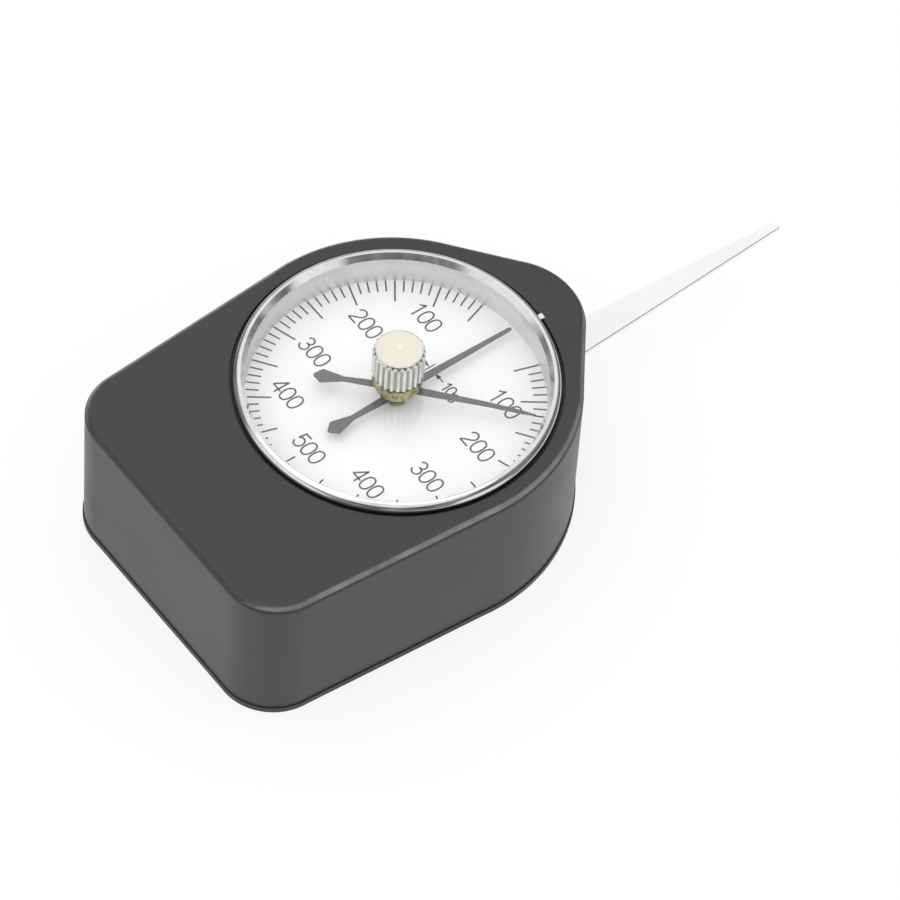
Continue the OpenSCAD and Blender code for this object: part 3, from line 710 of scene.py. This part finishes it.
# strokes of each figure, one unit high about its middle: (points, closed)
figureStrokes = {
    "0": [(oval(0.265, 0.455, 40), True)],
    "1": [([(0.07, 0.5), (0.07, -0.5)], False),
          ([(-0.2, 0.235), (-0.11, 0.285), (-0.03, 0.355), (0.04, 0.45), (0.07, 0.5)], False)],
    "2": [(arc((0.0, 0.2), (0.25, 0.255), 172, -28, 16)
           + [(0.13, -0.04), (-0.02, -0.17), (-0.16, -0.28), (-0.25, -0.39), (-0.28, -0.456)],
           False),
          ([(-0.3, -0.456), (0.285, -0.456)], False)],
    "3": [(arc((-0.01, 0.235), (0.215, 0.22), 165, -80, 18) + [(-0.07, 0.03)], False),
          (arc((0.0, -0.2), (0.255, 0.256), 82, -166, 20), False)],
    "4": [([(0.13, 0.5), (0.13, -0.5)], False),
          ([(0.13, 0.47), (-0.29, -0.18)], False),
          ([(-0.31, -0.2), (0.31, -0.2)], False)],
    "5": [([(-0.19, 0.456), (0.25, 0.456)], False),
          ([(-0.16, 0.47), (-0.225, 0.0)], False),
          (arc((0.0, -0.145), (0.262, 0.311), 148, -162, 22), False)],
    "g": [(oval(0.2, 0.25, 28), True),
          ([(0.215, 0.28), (0.215, -0.26)]
           + arc((0.015, -0.28), (0.2, 0.17), 0, -160, 12)[1:], False)],
}

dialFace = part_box("dial_plate")[1].z / mm

dialPrint = {
    "low": dialFace - 0.001,       # a hair into the enamel
    "high": dialFace + 0.015,
    "step": 3.6,                   # degrees for 10 units
    "bareSteps": 5,                # the lines start this many steps from zero
    "longEvery": 5,                # steps from one long line to the next
    "outer": 17.7,
    "shortInner": 16.09,
    "longInner": 14.59,
    "shortWidth": 0.19,
    "longWidth": 0.21,
    "figureHeight": 2.3,
    "figurePitch": 1.5,
    "figureStroke": 0.21,
    "figures": [
        ("100", (10.15, 7.8)), ("200", (3.8, 11.0)),
        ("300", (-3.7, 11.1)), ("400", (-9.95, 7.9)),
        ("100", (10.15, -7.8)), ("200", (3.8, -11.0)),
        ("300", (-3.7, -11.1)), ("400", (-9.95, -7.9)),
        ("500", (-12.6, 0.0)),
    ],
}


def addFigure(shape, figure, centre, height, width, look):
    # figures stand with their tops towards the lever
    for points, closed in figureStrokes[figure]:
        placed = [((centre[0] + v * height) * mm, (centre[1] - u * height) * mm)
                  for u, v in points]
        addStroke(shape, placed, width * mm, look["low"] * mm, look["high"] * mm, closed)


def makeScale(look):
    low, high = look["low"] * mm, look["high"] * mm
    shape = bmesh.new()
    half = round(180 / look["step"])
    for i in range(look["bareSteps"], 2 * half - look["bareSteps"] + 1):
        a = math.radians(i * look["step"])
        way = Vector((math.cos(a), math.sin(a)))
        kind = "short" if i % look["longEvery"] else "long"
        ends = [way * look[kind + "Inner"] * mm, way * look["outer"] * mm]
        addStroke(shape, ends, look[kind + "Width"] * mm, low, high)
    newPiece("scaleLines", shape, "hand_grey", "case", ink)
    shape = bmesh.new()
    for text, centre in look["figures"]:
        for i, figure in enumerate(text):
            along = (i - (len(text) - 1) / 2) * look["figurePitch"]
            place = (centre[0], centre[1] - along)
            addFigure(shape, figure, place, look["figureHeight"], look["figureStroke"], look)
    newPiece("scaleFigures", shape, "hand_grey", "case", ink)


stepMark = {
    "barWidth": 0.15,
    "bars": [((5.34, 1.57), (6.9, 1.57)), ((5.34, 0.65), (6.9, 0.65))],
    "shafts": [((6.06, 2.5), (6.06, 3.4)), ((6.06, 0.1), (6.06, -1.09))],
    "heads": [((6.06, 1.6), (6.06, 2.6)), ((6.06, 0.62), (6.06, -0.38))],   # tip, then base
    "headWidth": 0.6,
    "figures": [("1", (6.0, -1.85), 1.5), ("0", (6.04, -2.71), 1.5), ("g", (5.77, -3.63), 1.9)],
    "figureStroke": 0.19,
}


def makeStepMark(look, dial):
    shape = bmesh.new()
    low, high = dial["low"] * mm, dial["high"] * mm
    for ends in look["bars"] + look["shafts"]:
        addStroke(shape, [(x * mm, y * mm) for x, y in ends], look["barWidth"] * mm, low, high)
    for tip, base in look["heads"]:
        side = look["headWidth"] / 2
        corners = [tip, (base[0] - side, base[1]), (base[0] + side, base[1])]
        if tip[1] > base[1]:
            corners.reverse()
        upper = [shape.verts.new((x * mm, y * mm, high)) for x, y in corners]
        lower = [shape.verts.new((x * mm, y * mm, low)) for x, y in corners]
        shape.faces.new(upper)
        shape.faces.new(lower[::-1])
        for i in range(3):
            j = (i + 1) % 3
            shape.faces.new((upper[j], upper[i], lower[i], lower[j]))
    for figure, centre, height in look["figures"]:
        addFigure(shape, figure, centre, height, look["figureStroke"], dial)
    bmesh.ops.recalc_face_normals(shape, faces=shape.faces)
    newPiece("stepMark", shape, "hand_grey", "case", ink)


makeScale(dialPrint)
makeStepMark(stepMark, dialPrint)
print("dial printed")


# knob, turned and fluted, in mm
knobShape = {
    "radius": 3.1,
    "bore": 0.91,
    "boreTop": 24.8,
    "flutes": 24,
    "fluteDepth": 0.24,
    "flutePower": 0.85,            # less makes the ribs between the flutes sharper
    "fluteSteps": 14,
    "bodyRows": 6,
    "chamfer": 0.32,
    "chamferRows": [               # shares of the chamfer inwards and down
        (0.15, 0.85), (0.4, 0.6), (0.65, 0.35), (0.9, 0.1), (0.97, 0.02),
    ],
    "rim": 0.06,                   # softens the edge of the top
    "topRing": 1.6,                # a ring of points that keeps the top's faces short
    "foot": 0.12,
    "footRound": 0.3,
    "dimpleRadius": 0.32,
    "dimpleDepth": 0.05,
    "dimpleRound": (0.6, 0.7),     # shares of its radius and depth
    "smoothAngle": 38,             # degrees
}


def makeKnob(look):
    low, top = (corner.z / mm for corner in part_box("reset_knob"))
    r, c, foot = look["radius"], look["chamfer"], look["foot"]
    bore, boreTop, bodyRows = look["bore"], look["boreTop"], look["bodyRows"]
    dimple, deep = look["dimpleRadius"], look["dimpleDepth"]
    footSide = foot * look["footRound"]
    bodyLow, bodyTop = low + foot, top - c
    rows = [(0, boreTop), (bore, boreTop), (bore, low)]   # radius and height
    rows += [(r - foot, low), (r - footSide, low + footSide), (r, bodyLow)]
    rows += [(r, bodyLow + (bodyTop - bodyLow) * k / bodyRows) for k in range(1, bodyRows + 1)]
    rows += [(r - c * inwards, top - c * down) for inwards, down in look["chamferRows"]]
    rows += [(r - c - look["rim"], top), (look["topRing"], top), (dimple, top)]
    rows += [(dimple * look["dimpleRound"][0], top - deep * look["dimpleRound"][1])]
    rows += [(0, top - deep)]
    count = look["flutes"] * look["fluteSteps"]
    shape = bmesh.new()
    grid = []
    for radius, z in rows:
        if radius == 0:
            grid.append([shape.verts.new((0, 0, z * mm))])
            continue
        ring = []
        for i in range(count):
            a = 2 * math.pi * i / count
            wave = 0.5 + 0.5 * math.cos(a * look["flutes"])   # 1 in the middle of a flute
            reach = min(radius, r - look["fluteDepth"] * wave ** look["flutePower"]) * mm
            ring.append(shape.verts.new((reach * math.cos(a), reach * math.sin(a), z * mm)))
        grid.append(ring)
    for lower, upper in zip(grid, grid[1:]):
        for i in range(count):
            j = (i + 1) % count
            around = ((lower, i), (lower, j), (upper, j), (upper, i))
            corners = [row[k % len(row)] for row, k in around]
            shape.faces.new(list(dict.fromkeys(corners)))   # a row of one point gives triangles
    bmesh.ops.recalc_face_normals(shape, faces=shape.faces)
    knob = newPiece("knurledKnob", shape, "knob_nickel", "drag")
    for face in knob.data.polygons:
        face.use_smooth = True
    knob.data.set_sharp_from_angle(angle=math.radians(look["smoothAngle"]))
    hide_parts("reset_knob")


makeKnob(knobShape)
print("knob made")


bpy.context.scene.view_settings.view_transform = "Standard"
